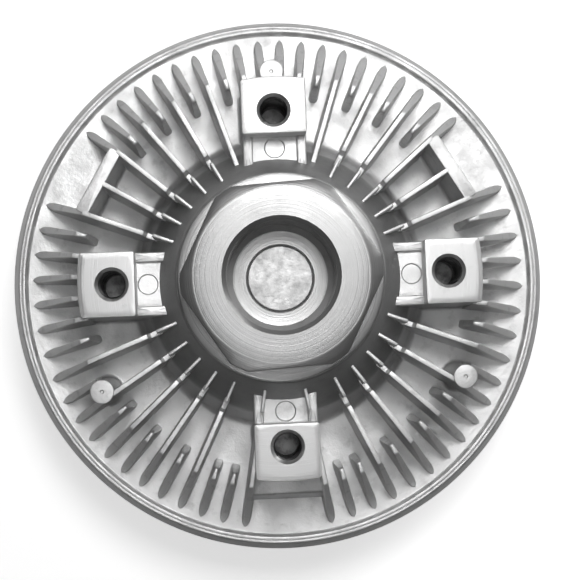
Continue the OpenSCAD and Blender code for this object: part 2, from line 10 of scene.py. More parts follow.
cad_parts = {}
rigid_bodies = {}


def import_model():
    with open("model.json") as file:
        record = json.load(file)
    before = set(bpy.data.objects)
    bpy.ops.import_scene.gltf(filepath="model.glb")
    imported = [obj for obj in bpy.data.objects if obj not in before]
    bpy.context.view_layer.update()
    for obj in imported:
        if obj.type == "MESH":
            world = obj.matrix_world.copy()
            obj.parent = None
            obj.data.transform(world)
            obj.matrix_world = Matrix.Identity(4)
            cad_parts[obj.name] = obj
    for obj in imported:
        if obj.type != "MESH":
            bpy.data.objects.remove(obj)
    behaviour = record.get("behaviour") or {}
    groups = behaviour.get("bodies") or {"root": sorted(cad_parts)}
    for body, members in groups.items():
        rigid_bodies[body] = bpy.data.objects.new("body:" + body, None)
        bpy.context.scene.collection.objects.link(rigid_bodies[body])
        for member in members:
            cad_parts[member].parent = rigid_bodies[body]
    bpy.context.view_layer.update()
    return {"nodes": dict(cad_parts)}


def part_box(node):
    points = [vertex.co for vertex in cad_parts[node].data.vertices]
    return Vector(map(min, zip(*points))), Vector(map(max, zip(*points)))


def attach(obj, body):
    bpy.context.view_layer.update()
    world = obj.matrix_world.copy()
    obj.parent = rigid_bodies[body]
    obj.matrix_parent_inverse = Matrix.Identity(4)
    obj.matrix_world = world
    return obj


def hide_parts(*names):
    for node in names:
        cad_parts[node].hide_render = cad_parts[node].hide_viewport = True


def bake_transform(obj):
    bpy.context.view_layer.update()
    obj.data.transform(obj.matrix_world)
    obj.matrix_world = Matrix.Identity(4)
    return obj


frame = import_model()

bl_info = {
    "name": "Fan clutch looks",
    "version": (1, 0, 0),
    "blender": (4, 5, 0),
    "location": "View3D > Sidebar > Fan Clutch",
    "description": "Builds the casting, hub nut, cover and coil of a viscous fan clutch",
    "category": "Object",
}

MM = 0.001
TURN = 2 * math.pi

# levels along the axis, in millimetres
FRONT_FACE = 9.0
FLOOR = 34.0
LIP = 35.5
BRIDGE = 55.5
PAD = 63.0
BOSS_TOP = 65.5
NUT_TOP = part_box("hub_nut")[1].z / MM
# radii and other sizes of the casting, in millimetres
RIM_R = -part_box("rear_housing")[0].x / MM
TIP_R = 69.0
FIN_TOP_R = 56.6
SHORT_R = 53.3
NOTCH_R = 38.8
WEB_R = 35.8
WEB_RISE = 6.55
NOTCH_DROP = 4.0
BOSS_R = 28.0
BOSS_FOOT_R = 39.9
BAR_R = 57.4
PIN_R = 56.4
BAR_T = 3.5
BOLT_R = 44.45
PAD_IN, PAD_OUT = 38.3, 53.5
PAD_W = 17.2
MARK_R = 35.4
# places round the axis, in degrees from the upper pad
STEP_TOP, STEP_SIDE, STEP_LOW, LOW_START = 5.2, 6.0, 5.3, 10.2
TOP_LAST, SIDE_FIRST = 9.5 * STEP_TOP, 90 - 3.5 * STEP_SIDE
BAR_AT = (TOP_LAST + SIDE_FIRST) / 2
# how far fins and posts reach below the floor, in millimetres
FIN_SUNK, POST_SUNK = 0.6, 0.8
# steps round the axis
CASTING_STEPS, COVER_STEPS, PIN_STEPS = 192, 160, 40
# where the long and short fins of the cover start, their count and spacing in degrees
COVER_FIN_STARTS, COVER_FINS = (32.2, 42.2), 20
COVER_FIN_STEP = 360 / COVER_FINS
# kinds of fin
KINDS = range(6)
STUB, SHORT, LONG, PLAIN, FROM_BAR, AT_PIN = KINDS
# finishes of a face
CAST, MACHINED, BORE = range(3)


# ---------------------------------------------------------------- sizes and colours

def length(name, text, value):
    """A size in metres, given in millimetres."""
    return bpy.props.FloatProperty(
        name=name, description=text, default=value * MM, min=0.0, unit="LENGTH", precision=5)


def share(name, text, value):
    """A plain number from 0 to 1."""
    return bpy.props.FloatProperty(
        name=name, description=text, default=value, min=0.0, max=1.0, subtype="FACTOR")


def tint(name, text, value):
    """A colour that a user may change."""
    return bpy.props.FloatVectorProperty(
        name=name, description=text, default=value, size=3, min=0.0, max=1.0, subtype="COLOR")


class CastingSizes(bpy.types.PropertyGroup):
    """Sizes of the rear casting and its fins."""
    fin_height: length("Fin height", "Height of the fins above the floor", 20.0)
    fin_foot: length("Fin foot", "Width of a fin at its foot", 2.3)
    fin_top: length("Fin top", "Width of a fin at its top", 1.35)
    fin_web: length("Fin web", "Thickness of the web between a fin and the boss", 0.9)
    fin_fillet: length("Fin fillet", "Radius at the foot of a fin", 0.25)
    foot_fillet: length("Foot fillet", "Radius where pads, bars and pins meet the floor", 1.0)
    edge_round: length("Edge round", "Radius on the cast edges", 0.22)
    pin_diameter: length("Pin diameter", "Diameter of the locating pins", 6.5)
    pin_height: length("Pin height", "Height of the locating pins", 20.5)


class NutSizes(bpy.types.PropertyGroup):
    """Sizes of the hub nut."""
    across_flats: length("Across flats", "Width of the hex", 47.6)
    bar: length("Bar diameter", "Diameter of the bar the nut is milled from", 52.2)
    collar: length("Collar diameter", "Diameter of the collar under the hex", 54.4)
    face: length("Face diameter", "Diameter of the flat face inside the chamfer", 45.7)
    pitch: length("Thread pitch", "Pitch of the hub thread", 1.5)
    minor: length("Thread minor diameter", "Diameter inside the thread", 28.4)
    major: length("Thread major diameter", "Diameter at the bottom of the thread", 30.0)


class CoverSizes(bpy.types.PropertyGroup):
    """Sizes of the front cover and the bimetal coil."""
    fin_tip: length("Cover fin tip", "Width of a cover fin at its tip", 2.4)
    fin_root: length("Cover fin root", "Width of a cover fin at its root", 3.4)
    strip_thickness: length("Strip thickness", "Thickness of the bimetal strip", 1.0)
    strip_width: length("Strip width", "Width of the bimetal strip", 6.0)


class FinishColours(bpy.types.PropertyGroup):
    """Colours of the metals and the rubber."""
    cast: tint("Cast alloy", "Colour of the as-cast alloy", (0.70, 0.70, 0.70))
    # also the colour of the painted shade on the boss round the hub nut
    grime_and_shade: tint("Cast grime", "Colour of the dust in the cast grain", (0.22, 0.22, 0.22))
    machined: tint("Machined alloy", "Colour of machined alloy", (0.46, 0.46, 0.46))
    # painted shade: the dark wall colour of the tapped holes stands for the shade deep inside them
    bore: tint("Tapped bore", "Colour of the oily wall of a tapped hole", (0.20, 0.20, 0.20))
    steel: tint("Turned steel", "Colour of the turned steel", (0.30, 0.30, 0.30))
    stain: tint("Steel stain", "Colour of the stains on steel", (0.26, 0.26, 0.26))
    plated: tint("Plated sheet", "Colour of the plated sheet", (0.52, 0.52, 0.52))
    blued: tint("Blued spring", "Colour of the blued spring steel", (0.10, 0.10, 0.11))
    brass: tint("Brass", "Colour of the brass", (0.66, 0.52, 0.26))
    straw: tint("Straw strip", "Colour of the bimetal strip", (0.52, 0.44, 0.33))
    rubber: tint("Rubber", "Colour of the seals", (0.025, 0.025, 0.025))
    floor: tint("Floor", "Colour of the studio floor", (0.9, 0.9, 0.9))
    grain: share("Cast grain", "Strength of the cast grain", 0.55)


# ---------------------------------------------------------------- mesh making

class Shell:
    """Rings of points in millimetres, joined into closed skins."""

    def __init__(self):
        self.points, self.faces, self.marks = [], [], []

    def ring(self, points):
        """Adds a row of points and gives their numbers."""
        start = len(self.points)
        self.points.extend((float(x), float(y), float(z)) for x, y, z in points)
        return list(range(start, len(self.points)))

    def face(self, corners, mark=CAST):
        """Adds one face, without corners that repeat."""
        kept = [c for i, c in enumerate(corners) if c != corners[i - 1]]
        if len(kept) > 2:
            self.faces.append(kept)
            self.marks.append(mark)

    def join(self, low, high, mark=CAST):
        """Joins two rings of equal length all the way round."""
        n = len(low)
        for i in range(n):
            k = (i + 1) % n
            self.face((low[i], low[k], high[k], high[i]), mark)

    def cap(self, ring, mark=CAST):
        """Closes a ring with a fan round its middle."""
        middle = np.mean([self.points[i] for i in ring], axis=0)
        centre = self.ring([middle])[0]
        n = len(ring)
        for i in range(n):
            self.face((ring[i], ring[(i + 1) % n], centre), mark)

    def wall(self, rows):
        """Joins rows of points in order and gives their rings."""
        rings = [self.ring(row) for row in rows]
        for low, high in zip(rings, rings[1:]):
            self.join(low, high)
        return rings

    def skin(self, rows, closed=False):
        """A wall of rows that ends where it starts, or is capped at both ends."""
        rings = self.wall(rows)
        if closed:
            self.join(rings[-1], rings[0])
        else:
            self.cap(rings[0])
            self.cap(rings[-1])

    def thread(self, top, bottom, angles, x, profile, pitch, z_top, turns):
        """A helical wall between two rings: profile gives (share of the pitch, radius)."""
        n, m = len(angles), len(profile)
        last = n * turns

        def place(i, q):
            part, radius = profile[q]
            a = angles[i % n]
            z = z_top - pitch * (i // n + (a - angles[0]) / TURN + part)
            return circle(radius, z, [a], x)[0]

        rows = [self.ring([place(i, q) for q in range(m)]) for i in range(last + 1)]
        tail = self.ring([place(last + j, 0) for j in range(1, n + 1)])

        def at(i, q):
            if q == m:
                return at(i + n, 0)
            return rows[i][q] if i <= last else tail[i - last - 1]

        for i in range(last):
            for q in range(m):
                self.face((at(i, q), at(i + 1, q), at(i + 1, q + 1), at(i, q + 1)), BORE)
        for j in range(n):
            k = (j + 1) % n
            self.face((top[j], top[k], at(j + 1, 0), at(j, 0)), BORE)
            self.face((at(last + j, 0), at(last + j + 1, 0), bottom[k], bottom[j]), BORE)
        for q in range(m):
            self.face((top[0], at(0, q), at(0, q + 1)), BORE)
            self.face((bottom[0], at(last, q), at(last, q + 1)), BORE)

    def mesh(self, name, sharp=32.0):
        """The skins as a Blender mesh in metres, facing outwards."""
        made = bpy.data.meshes.new(name)
        made.from_pydata([(x * MM, y * MM, z * MM) for x, y, z in self.points], [], self.faces)
        work = bmesh.new()
        work.from_mesh(made)
        work.faces.ensure_lookup_table()
        cut, bored = (work.faces.layers.bool.new(name) for name in ("machined", "bore"))
        for face, mark in zip(work.faces, self.marks):
            face[cut], face[bored] = mark == MACHINED, mark == BORE
            face.smooth = True
        bmesh.ops.recalc_face_normals(work, faces=work.faces)
        work.to_mesh(made)
        work.free()
        made.set_sharp_from_angle(angle=math.radians(sharp))
        return made


def circle(radius, z, angles, x=0.0):
    """Points at a height round an upright axis that stands at x."""
    return [(x + radius * math.cos(a), radius * math.sin(a), z) for a in angles]


def round_angles(count):
    """Even angles round a circle."""
    return [TURN * i / count for i in range(count)]


def arc(x, z, r, start, end, steps):
    """Points along an arc, angles in degrees."""
    return [(x + r * math.cos(math.radians(a)), z + r * math.sin(math.radians(a)))
            for a in np.linspace(start, end, steps + 1)]


def flare(x, radius, degrees):
    """The hollow corner from the floor up to a side at x."""
    return [(x + radius * (1 - math.sin(a)), radius * (1 - math.cos(a))) for a in np.radians(degrees)]


def crown(x, top, radius, degrees):
    """The round edge from a side at x over to the top."""
    return [(x - radius * (1 - math.cos(a)), top - radius * (1 - math.sin(a))) for a in np.radians(degrees)]


def both_sides(r, side):
    """A cross-section at a radius, from one side and its mirror image."""
    return [(r, y, z) for y, z in side] + [(r, -y, z) for y, z in reversed(side)]


def lathe_rows(section, angles):
    """A section in radius and height, turned about the axis."""
    return [circle(r, z, angles) for r, z in section]


def rounded(section, radius, steps=3):
    """A closed section whose corners are rounded, each within its two edges."""
    out, n = [], len(section)
    for i, corner in enumerate(section):
        p = np.array(corner, float)
        a, b = np.array(section[i - 1], float) - p, np.array(section[(i + 1) % n], float) - p
        la, lb = np.linalg.norm(a), np.linalg.norm(b)
        bend = math.acos(max(-1, min(1, float(a @ b) / (la * lb))))
        cut = min(radius / max(math.tan(bend / 2), 0.2), 0.42 * la, 0.42 * lb)
        if bend > math.radians(168) or cut < 0.02:
            out.append(tuple(p))
            continue
        for t in np.linspace(0, 1, steps + 1):
            q = (p + a / la * cut) * (1 - t) ** 2 + p * 2 * t * (1 - t) + (p + b / lb * cut) * t ** 2
            out.append(tuple(q))
    return out


def box_outline(x0, x1, half, corner):
    """A rectangle in plan with round corners, anticlockwise and finely divided."""
    return divided(rounded([(x0, -half), (x1, -half), (x1, half), (x0, half)], corner), 1.6)


def divided(plan, longest):
    """A closed outline with points added until no edge is longer than that."""
    out = []
    for i, p in enumerate(plan):
        q = plan[(i + 1) % len(plan)]
        parts = max(1, math.ceil(math.dist(p, q) / longest))
        for k in range(parts):
            t = k / parts
            out.append((p[0] + (q[0] - p[0]) * t, p[1] + (q[1] - p[1]) * t))
    return out


def grown(plan, by):
    """An outline moved outwards along its own normals."""
    p = np.array(plan, float)
    along = np.roll(p, -1, 0) - np.roll(p, 1, 0)
    along /= np.maximum(np.linalg.norm(along, axis=1, keepdims=True), 1e-9)
    return p + by * np.stack([along[:, 1], -along[:, 0]], 1)


def post(shell, plan, height, fillet, edge, draft, well=None):
    """A cast post on the floor at height 0: flared foot, drafted side, round top edge, optional well."""
    levels = [(fillet, -POST_SUNK), (fillet, 0.0)] + flare(0.0, fillet, (25, 50, 70, 90))
    levels = [(o + draft * max(0.0, height - z), z) for o, z in levels]
    levels += [(draft * (height - z), z) for z in np.linspace(fillet, height - edge, 5)[1:]]
    levels += crown(0.0, height, edge, (30, 60, 90))
    rows = [[(x, y, z) for x, y in grown(plan, o)] for o, z in levels]
    rings = shell.wall(rows)
    shell.cap(rings[0])
    if well is None:
        shell.cap(rings[-1])
        return
    middle, radius, mark, rest = well
    angles = [math.atan2(y, x - middle) for x, y in plan]
    angles = [a + TURN if a < angles[0] - 1e-9 else a for a in angles]
    outer, mouth = np.array(rows[-1]), np.array(circle(radius, height, angles, middle))
    ring = rings[-1]
    for t in (0.35, 0.7, 1.0):
        inner = shell.ring(outer * (1 - t) + mouth * t)
        shell.join(ring, inner, mark)
        ring = inner
    rest(ring, angles)


# ---------------------------------------------------------------- placing round the axis

def placing_tree():
    """Geometry nodes that set masters round the axis, by each point's turn and kind."""
    tree = bpy.data.node_groups.new("Set round the axis", "GeometryNodeTree")
    for name, sort in (("Geometry", "Geometry"), ("Masters", "Collection"), ("Lift", "Float"),
                       ("Finish", "Material"), ("Machined Finish", "Material"), ("Bore Finish", "Material")):
        tree.interface.new_socket(name, in_out="INPUT", socket_type="NodeSocket" + sort)
    tree.interface.new_socket("Geometry", in_out="OUTPUT", socket_type="NodeSocketGeometry")
    node, link = tree.nodes.new, tree.links.new

    def named(attribute, sort):
        made = node("GeometryNodeInputNamedAttribute")
        made.data_type = sort
        made.inputs["Name"].default_value = attribute
        return made.outputs["Attribute"]

    source, end = node("NodeGroupInput"), node("NodeGroupOutput")
    points = node("GeometryNodeMeshToPoints")
    masters = node("GeometryNodeCollectionInfo")
    masters.inputs["Separate Children"].default_value = True
    masters.inputs["Reset Children"].default_value = True
    angles, turned = node("ShaderNodeCombineXYZ"), node("FunctionNodeEulerToRotation")
    place = node("GeometryNodeInstanceOnPoints")
    place.inputs["Pick Instance"].default_value = True
    up, lift = node("ShaderNodeCombineXYZ"), node("GeometryNodeTranslateInstances")
    lift.inputs["Local Space"].default_value = False
    real = node("GeometryNodeRealizeInstances")
    for output, entry in (
            (source.outputs["Geometry"], points.inputs["Mesh"]),
            (source.outputs["Masters"], masters.inputs["Collection"]),
            (named("turn", "FLOAT"), angles.inputs["Z"]),
            (angles.outputs[0], turned.inputs["Euler"]),
            (points.outputs[0], place.inputs["Points"]),
            (masters.outputs[0], place.inputs["Instance"]),
            (named("kind", "INT"), place.inputs["Instance Index"]),
            (turned.outputs[0], place.inputs["Rotation"]),
            (source.outputs["Lift"], up.inputs["Z"]),
            (place.outputs[0], lift.inputs["Instances"]),
            (up.outputs[0], lift.inputs["Translation"]),
            (lift.outputs[0], real.inputs[0])):
        link(output, entry)
    last = real
    for attribute, name in ((None, "Finish"), ("machined", "Machined Finish"), ("bore", "Bore Finish")):
        paint = node("GeometryNodeSetMaterial")
        link(last.outputs[0], paint.inputs["Geometry"])
        if attribute:
            link(named(attribute, "BOOLEAN"), paint.inputs["Selection"])
        link(source.outputs[name], paint.inputs["Material"])
        last = paint
    link(last.outputs[0], end.inputs["Geometry"])
    return tree


def set_round(name, masters, places, lift):
    """One mesh of the masters set round the axis; places are (turn in degrees, kind)."""
    tree = bpy.data.node_groups.get("Set round the axis") or placing_tree()
    group = bpy.data.collections.new(name + "_masters")
    for i, shape in enumerate(masters):
        group.objects.link(bpy.data.objects.new(f"{name}_master_{i}", shape))
    points = bpy.data.meshes.new(name + "_places")
    points.from_pydata([(0, 0, 0)] * len(places), [], [])
    points.attributes.new("turn", "FLOAT", "POINT").data.foreach_set(
        "value", [math.radians(a) for a, _ in places])
    points.attributes.new("kind", "INT", "POINT").data.foreach_set("value", [k for _, k in places])
    holder = bpy.data.objects.new(name + "_holder", points)
    bpy.context.scene.collection.objects.link(holder)
    nodes = holder.modifiers.new("Set round the axis", "NODES")
    nodes.node_group = tree
    values = {"Masters": group, "Lift": lift * MM, "Finish": cast_alloy(),
              "Machined Finish": machined_alloy(), "Bore Finish": tapped_alloy_painted_shade()}
    for item in tree.interface.items_tree:
        if item.in_out == "INPUT" and item.name in values:
            nodes[item.identifier] = values[item.name]
    graph = bpy.context.evaluated_depsgraph_get()
    made = bpy.data.meshes.new_from_object(holder.evaluated_get(graph), depsgraph=graph)
    holder.modifiers.clear()
    bpy.data.objects.remove(holder)
    for master in list(group.objects):
        bpy.data.objects.remove(master)
    bpy.data.collections.remove(group)
    if len(made.polygons) < len(places):
        raise RuntimeError(f"{name}: nothing was set round the axis")
    return shown(name, made)


def shown(name, mesh, *finishes):
    """Puts a mesh into the scene, with its finishes."""
    mesh.name = name
    for finish in finishes:
        mesh.materials.append(finish)
    piece = bpy.data.objects.new(name, mesh)
    bpy.context.scene.collection.objects.link(piece)
    return piece


# ---------------------------------------------------------------- finishes

def group_tree(name, inputs, outputs):
    """An empty shader group with float inputs and the named outputs."""
    tree = bpy.data.node_groups.new(name, "ShaderNodeTree")
    for label, value in inputs:
        socket = tree.interface.new_socket(label, in_out="INPUT", socket_type="NodeSocketFloat")
        socket.default_value = value
    for label in outputs:
        tree.interface.new_socket(label, in_out="OUTPUT", socket_type="NodeSocketFloat")
    return tree, tree.nodes.new("NodeGroupInput"), tree.nodes.new("NodeGroupOutput")


def feed(tree, socket, value):
    """Links an output to a socket, or sets a plain value on it."""
    if hasattr(value, "is_output"):
        tree.links.new(value, socket)
    else:
        socket.default_value = value


def math_node(tree, operation, *values):
    """A Math node with linked or plain inputs; gives its output."""
    made = tree.nodes.new("ShaderNodeMath")
    made.operation = operation
    for socket, value in zip(made.inputs, values):
        feed(tree, socket, value)
    return made.outputs[0]


def noise(tree, vector, scale, detail=3.0, rough=0.55):
    """A Noise Texture; scale is a number or a socket."""
    made = tree.nodes.new("ShaderNodeTexNoise")
    for label, value in (("Detail", detail), ("Roughness", rough), ("Vector", vector), ("Scale", scale)):
        feed(tree, made.inputs[label], value)
    return made.outputs["Fac"]


def axis_parts(tree):
    """Object coordinates, with the distance from the axis and the height."""
    where = tree.nodes.new("ShaderNodeTexCoord").outputs["Object"]
    parts = tree.nodes.new("ShaderNodeSeparateXYZ")
    tree.links.new(where, parts.inputs[0])
    squares = [math_node(tree, "POWER", parts.outputs[axis], 2.0) for axis in "XY"]
    return where, math_node(tree, "SQRT", math_node(tree, "ADD", *squares)), parts.outputs["Z"]


def grain_group():
    """Cast grain: fine pits, patches and soft clouds."""
    tree, source, end = group_tree(
        "Cast grain", [("Pit Scale", 900.0), ("Patch Scale", 120.0)], ["Height", "Patch", "Cloud"])
    where = tree.nodes.new("ShaderNodeTexCoord").outputs["Object"]
    pits = noise(tree, where, source.outputs["Pit Scale"], 4.0, 0.6)
    patch = noise(tree, where, source.outputs["Patch Scale"])
    cloud = noise(tree, where, 26.0, 2.0, 0.5)
    height = math_node(tree, "MULTIPLY_ADD", patch, 0.6, pits)
    for label, value in (("Height", height), ("Patch", patch), ("Cloud", cloud)):
        tree.links.new(value, end.inputs[label])
    return tree


def turned_group():
    """Lathe marks: rings about the axis with uneven depth."""
    tree, source, end = group_tree("Lathe marks", [("Rings", 2200.0)], ["Height", "Shade"])
    where, radius, height = axis_parts(tree)
    path = math_node(tree, "MULTIPLY_ADD", height, 0.73, radius)
    rings = tree.nodes.new("ShaderNodeTexNoise")
    rings.noise_dimensions = "1D"
    rings.inputs["Detail"].default_value = 3.0
    rings.inputs["Scale"].default_value = 1.0
    tree.links.new(math_node(tree, "MULTIPLY", path, source.outputs["Rings"]), rings.inputs["W"])
    shade = math_node(tree, "MULTIPLY_ADD", noise(tree, where, 160.0), 0.5, rings.outputs["Fac"])
    tree.links.new(rings.outputs["Fac"], end.inputs["Height"])
    tree.links.new(shade, end.inputs["Shade"])
    return tree


def wear_group():
    """Stains and rubbed spots with a set reach."""
    tree, source, end = group_tree(
        "Stains", [("Scale", 180.0), ("Reach", 0.5), ("Softness", 0.12)], ["Mask"])
    where = tree.nodes.new("ShaderNodeTexCoord").outputs["Object"]
    field = noise(tree, where, source.outputs["Scale"], 6.0, 0.62)
    over = math_node(tree, "SUBTRACT", field, source.outputs["Reach"])
    held = tree.nodes.new("ShaderNodeClamp")
    tree.links.new(math_node(tree, "DIVIDE", over, source.outputs["Softness"]), held.inputs[0])
    tree.links.new(held.outputs[0], end.inputs["Mask"])
    return tree


GROUPS = {"Cast grain": grain_group, "Lathe marks": turned_group, "Stains": wear_group}


def effect(tree, name, **values):
    """Places one of the shader groups in a material."""
    made = tree.nodes.new("ShaderNodeGroup")
    made.node_tree = bpy.data.node_groups.get(name) or GROUPS[name]()
    for label, value in values.items():
        made.inputs[label.replace("_", " ")].default_value = value
    return made.outputs


def mixed(tree, mask, first, second):
    """Two colours mixed by a mask; either may be a socket."""
    made = tree.nodes.new("ShaderNodeMix")
    made.data_type = "RGBA"
    tree.links.new(mask, made.inputs[0])
    for socket, value in ((made.inputs[6], first), (made.inputs[7], second)):
        feed(tree, socket, value if hasattr(value, "is_output") else (*value, 1.0))
    return made.outputs[2]


def times(factor, colour):
    """A colour made lighter or darker."""
    return [factor * v for v in colour]


def stains(tree, scale, reach, softness, strength):
    """Mask of stains of a strength."""
    mask = effect(tree, "Stains", Scale=scale, Reach=reach, Softness=softness)["Mask"]
    return math_node(tree, "MULTIPLY", mask, strength)


def ranged(tree, value, low, high, start=0.3, end=0.7):
    """A value from one range to another."""
    made = tree.nodes.new("ShaderNodeMapRange")
    for label, number in (("From Min", start), ("From Max", end), ("To Min", low), ("To Max", high)):
        made.inputs[label].default_value = number
    tree.links.new(value, made.inputs["Value"])
    return made.outputs["Result"]


def finish(name, build, metallic=1.0):
    """A material by name, made once: build gives colour, roughness, height, depth in mm."""
    made = bpy.data.materials.get(name)
    if made is not None:
        return made
    made = bpy.data.materials.new(name)
    made.use_nodes = True
    tree = made.node_tree
    shader = tree.nodes["Principled BSDF"]
    shader.inputs["Metallic"].default_value = metallic
    colour, roughness, height, depth = build(tree)
    bump = tree.nodes.new("ShaderNodeBump")
    bump.inputs["Strength"].default_value = 1.0
    bump.inputs["Distance"].default_value = depth * MM
    tree.links.new(height, bump.inputs["Height"])
    for label, value in (("Base Color", colour), ("Roughness", roughness), ("Normal", bump.outputs[0])):
        tree.links.new(value, shader.inputs[label])
    return made


def colours():
    """The colours that the panel shows."""
    return bpy.context.scene.fan_clutch_finish


def hub_painted_shade(tree):
    """Mask of painted shade on the boss round the hub nut, darkest nearest the hub."""
    _, radius, height = axis_parts(tree)
    # painted shade: the boss slope is darkened under and round the nut, strongest close to the axis
    darkest = 0.75
    above = ranged(tree, height, 0.0, 1.0, 44.0 * MM, 47.0 * MM)
    return math_node(tree, "MULTIPLY", above, ranged(tree, radius, darkest, 0.0, 35.0 * MM, 44.0 * MM))


def cast_alloy(name="cast_alloy", hub_shade=False):
    """As-cast alloy with grain, dust and soft clouds, and painted shade round the hub if asked for."""
    def build(tree):
        c = colours()
        grain = effect(tree, "Cast grain", Pit_Scale=1100.0, Patch_Scale=150.0)
        clouds = mixed(tree, ranged(tree, grain["Cloud"], 0.0, 1.0), times(0.86, c.cast), c.cast)
        colour = mixed(tree, stains(tree, 240.0, 0.56, 0.2, 0.45), clouds, c.grime_and_shade)
        if hub_shade:
            # painted shade: the boss round the hub nut darkened towards the grime colour
            colour = mixed(tree, hub_painted_shade(tree), colour, c.grime_and_shade)
        return colour, ranged(tree, grain["Patch"], 0.42, 0.60), grain["Height"], 0.16 * c.grain
    return finish(name, build, metallic=0.88)


def cut_metal(name, rings, stain, colour, dirt, rough, depth, metallic=1.0):
    """Metal with cutter marks in rings and light stains."""
    def build(tree):
        marks = effect(tree, "Lathe marks", Rings=rings)
        tone = mixed(tree, stains(tree, *stain), colour, dirt)
        return tone, ranged(tree, marks["Shade"], *rough, 0.4, 1.0), marks["Height"], depth
    return finish(name, build, metallic)


def oily_metal(name, patches, stain, colour, dirt, rough, depth, metallic=1.0):
    """Metal with a fine grain and spots of oil."""
    def build(tree):
        grain = effect(tree, "Cast grain", Pit_Scale=1500.0, Patch_Scale=patches)
        tone = mixed(tree, stains(tree, *stain), colour, dirt)
        return tone, ranged(tree, grain["Patch"], *rough), grain["Height"], depth
    return finish(name, build, metallic)


def machined_alloy():
    """Machined alloy with fine cutter marks."""
    c = colours()
    return cut_metal("machined_alloy", 2600.0, (300.0, 0.6, 0.15, 0.3), c.machined, c.grime_and_shade,
                     (0.34, 0.46), 0.022)


def tapped_alloy_painted_shade():
    """Walls of a tapped hole, dark with painted shade deep in the hole, and spots of oil."""
    c = colours()
    return oily_metal("tapped_alloy_painted_shade", 300.0, (320.0, 0.42, 0.2, 1.0), c.bore, times(0.4, c.bore),
                      (0.34, 0.5), 0.03)


def turned_steel():
    """Turned and milled steel with lathe marks and light stains."""
    c = colours()
    return cut_metal("turned_steel", 3000.0, (220.0, 0.54, 0.2, 0.4), c.steel, c.stain,
                     (0.28, 0.42), 0.035, metallic=0.85)


def threaded_steel():
    """Walls of the hub thread, with oil in the grooves."""
    c = colours()
    return oily_metal("threaded_steel", 300.0, (260.0, 0.5, 0.2, 0.5), times(1.4, c.steel), c.stain,
                      (0.36, 0.5), 0.03, metallic=0.2)


def mottled_steel():
    """Shaft steel whose end is spotted with dried oil."""
    c = colours()
    return oily_metal("mottled_steel", 400.0, (700.0, 0.46, 0.3, 0.7), times(1.7, c.steel), c.stain,
                      (0.44, 0.6), 0.06)


def plain_metal(name, colour, rough, rings=None):
    """A sheet, ground or rolled metal with faint marks and stains."""
    def build(tree):
        grain = effect(tree, "Cast grain", Pit_Scale=1800.0, Patch_Scale=300.0)
        tone = mixed(tree, stains(tree, 260.0, 0.56, 0.2, 0.35), colour, times(0.4, colour))
        relief = effect(tree, "Lathe marks", Rings=rings) if rings else grain
        return tone, ranged(tree, grain["Patch"], rough - 0.07, rough + 0.09), relief["Height"], 0.02
    return finish(name, build)


def moulded_rubber():
    """Black rubber with a faint bloom."""
    def build(tree):
        c = colours()
        grain = effect(tree, "Cast grain", Pit_Scale=1600.0, Patch_Scale=260.0)
        tone = mixed(tree, ranged(tree, grain["Cloud"], 0.0, 0.6), c.rubber, times(2.2, c.rubber))
        return tone, ranged(tree, grain["Patch"], 0.55, 0.75), grain["Height"], 0.03
    return finish("moulded_rubber", build, metallic=0.0)


# ---------------------------------------------------------------- pieces

def placed(piece, body, slot, *nodes):
    """Ties a finished piece to its body and hides the nodes it stands for; the slot is not used."""
    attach(piece, body)
    if nodes:
        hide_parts(*nodes)


def housing_section():
    """The casting's section, from the rolled front edge over the rim to the chamber."""
    front, roof, groove = 11.5, 28.6, 25.1
    outside = [(66.6, front), (72.4, front), (73.4, 12.5), (73.4, 26.0), (RIM_R, 27.6), (RIM_R, 30.0),
               (73.2, 35.1), (72.8, LIP), (72.3, LIP), (72.1, LIP - 0.2), (71.9, LIP), (71.1, LIP),
               (70.8, FLOOR + 0.4), (70.3, FLOOR), (60.0, FLOOR)]
    outside = rounded(outside, 0.45)[4:-4]
    foot = arc(BOSS_FOOT_R + 1.9, FLOOR + 2.6, 2.6, -90, -164, 7)
    top = [(35.8, 48.0)] + arc(BOSS_R - 0.9, BOSS_TOP - 0.9, 0.9, 24.9, 90, 6)
    inside = [(24.1, BOSS_TOP), (23.5, 64.9), (23.5, 51.7), (24.8, 51.7), (24.8, 50.0), (23.5, 50.0),
              (23.5, 36.0), (19.0, 36.0), (19.0, roof), (27.8, roof), (27.8, 46.0), (29.7, 46.0),
              (35.3, 30.6), (35.7, roof)]
    for low in (46.0, 50.0, 54.0, 58.0, 62.0):
        inside += [(low, roof), (low, groove), (low + 1.5, groove), (low + 1.5, roof)]
    inside += [(65.8, roof), (65.8, 17.0), (69.3, 17.0), (69.3, 13.0), (66.6, 13.0)]
    return [(66.6, front), (72.0, front)] + outside + foot + top + inside


class FANCLUTCH_OT_casting_shell(bpy.types.Operator):
    """Turns the casting's wall, rim, floor and boss."""
    bl_idname = "fan_clutch.casting_shell"
    bl_label = "Casting shell"

    def execute(self, context):
        shell = Shell()
        shell.skin(lathe_rows(housing_section(), round_angles(CASTING_STEPS)), closed=True)
        piece = shown("housing_shell", shell.mesh("housing_shell"), cast_alloy("boss_alloy_painted_shade", True))
        placed(piece, "housing", "cast_aluminium", "rear_housing")
        return {"FINISHED"}


